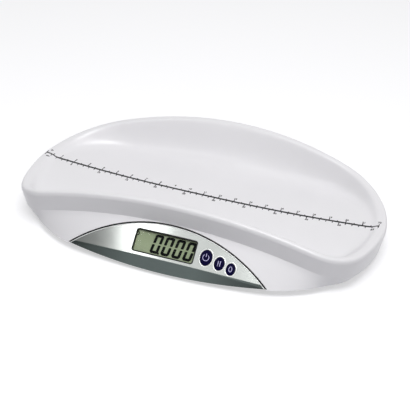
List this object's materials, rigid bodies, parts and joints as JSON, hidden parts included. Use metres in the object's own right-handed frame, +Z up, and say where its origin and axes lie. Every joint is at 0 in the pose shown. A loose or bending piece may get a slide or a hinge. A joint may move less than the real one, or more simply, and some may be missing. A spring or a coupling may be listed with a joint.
{
  "type": "digital baby weighing scale",
  "caption": "Oval cradle-shaped baby weighing scale with a dished tray, ruler along its length, a half-moon display panel with buttons, load-cell feet and battery lid.",
  "frame": {"origin": "middle of the bounding box at table level, under the foot pads", "axes": "+X along the length and the printed ruler, to the right seen from the display side; +Y to the back, away from the display; +Z up"},
  "size_m": [0.5742, 0.312, 0.0986],
  "materials": {
    "base_white": "fine spark-eroded white ABS",
    "battery_wrap": "printed sleeve",
    "board_green": "solder mask",
    "button_navy": "satin navy",
    "carrier_grey": "moulded",
    "cell_steel": "nickel-plated steel",
    "chip_black": "moulded epoxy",
    "connector_ivory": "nylon",
    "contact_nickel": "nickel-plated spring steel",
    "contact_rubber": "zebra elastomer",
    "display_glass": "grey-green reflective display",
    "foot_grey": "moulded",
    "frame_black": "moulded black",
    "gasket_black": "matt black TPE",
    "lens_clear": "clear acrylic",
    "loom_black": "PVC",
    "loom_grey": "PVC jacket",
    "loom_red": "PVC",
    "pad_rubber": "matt",
    "panel_silver": "satin silver paint over ABS",
    "plunger_brown": "moulded",
    "screw_steel": "zinc plated",
    "shell_white": "gloss white ABS",
    "switch_black": "moulded"
  },
  "bodies": {
    "housing": {"base_cover": "base_white", "base_screw_left_back": "screw_steel", "base_screw_left_front": "screw_steel", "base_screw_panel_left": "screw_steel", "base_screw_panel_right": "screw_steel", "base_screw_right_back": "screw_steel", "base_screw_right_front": "screw_steel", "battery_1": "battery_wrap", "battery_2": "battery_wrap", "battery_3": "battery_wrap", "battery_4": "battery_wrap", "battery_loom_minus": "loom_black", "battery_loom_plus": "loom_red", "cell_carrier_back_left": "carrier_grey", "cell_carrier_back_right": "carrier_grey", "cell_carrier_front_left": "carrier_grey", "cell_carrier_front_right": "carrier_grey", "cell_loom_back_left": "loom_grey", "cell_loom_back_right": "loom_grey", "cell_loom_front_left": "loom_grey", "cell_loom_front_right": "loom_grey", "contact_bridge_front": "contact_nickel", "contact_bridge_left": "contact_nickel", "contact_bridge_right": "contact_nickel", "contact_minus": "contact_nickel", "contact_plus": "contact_nickel", "control_panel": "panel_silver", "controller_chip": "chip_black", "foot_back_left": "foot_grey", "foot_back_right": "foot_grey", "foot_front_left": "foot_grey", "foot_front_right": "foot_grey", "foot_pad_back_left": "pad_rubber", "foot_pad_back_right": "pad_rubber", "foot_pad_front_left": "pad_rubber", "foot_pad_front_right": "pad_rubber", "lcd_frame": "frame_black", "lcd_glass": "display_glass", "lcd_lens": "lens_clear", "load_cell_back_left": "cell_steel", "load_cell_back_right": "cell_steel", "load_cell_front_left": "cell_steel", "load_cell_front_right": "cell_steel", "loom_connector": "connector_ivory", "main_pcb": "board_green", "panel_gasket": "gasket_black", "pcb_screw_left_high": "screw_steel", "pcb_screw_right": "screw_steel", "tact_switch_hold": "switch_black", "tact_switch_power": "switch_black", "tact_switch_zero": "switch_black", "tray_shell": "shell_white", "zebra_strip": "contact_rubber"},
    "power_button": {"button_power": "button_navy", "tact_plunger_power": "plunger_brown"},
    "hold_button": {"button_hold": "button_navy", "tact_plunger_hold": "plunger_brown"},
    "zero_button": {"button_zero": "button_navy", "tact_plunger_zero": "plunger_brown"},
    "battery_lid": {"battery_door": "base_white"}
  },
  "joints": [
    {"name": "power_press", "type": "slide", "parent": "housing", "child": "power_button", "axis": [0, 0.6921, -0.7218], "range_m": [0, 0.0006], "stiffness_N_per_m": 2500, "springref_m": -0.0004},
    {"name": "hold_press", "type": "slide", "parent": "housing", "child": "hold_button", "axis": [0, 0.6921, -0.7218], "range_m": [0, 0.0006], "stiffness_N_per_m": 2500, "springref_m": -0.0004},
    {"name": "zero_press", "type": "slide", "parent": "housing", "child": "zero_button", "axis": [0, 0.6921, -0.7218], "range_m": [0, 0.0006], "stiffness_N_per_m": 2500, "springref_m": -0.0004},
    {"name": "battery_lid_hinge", "type": "hinge", "parent": "housing", "child": "battery_lid", "pos_m": [0, 0.02105, 0.012], "axis": [-1, 0, 0], "range_deg": [0, 85]}
  ]
}
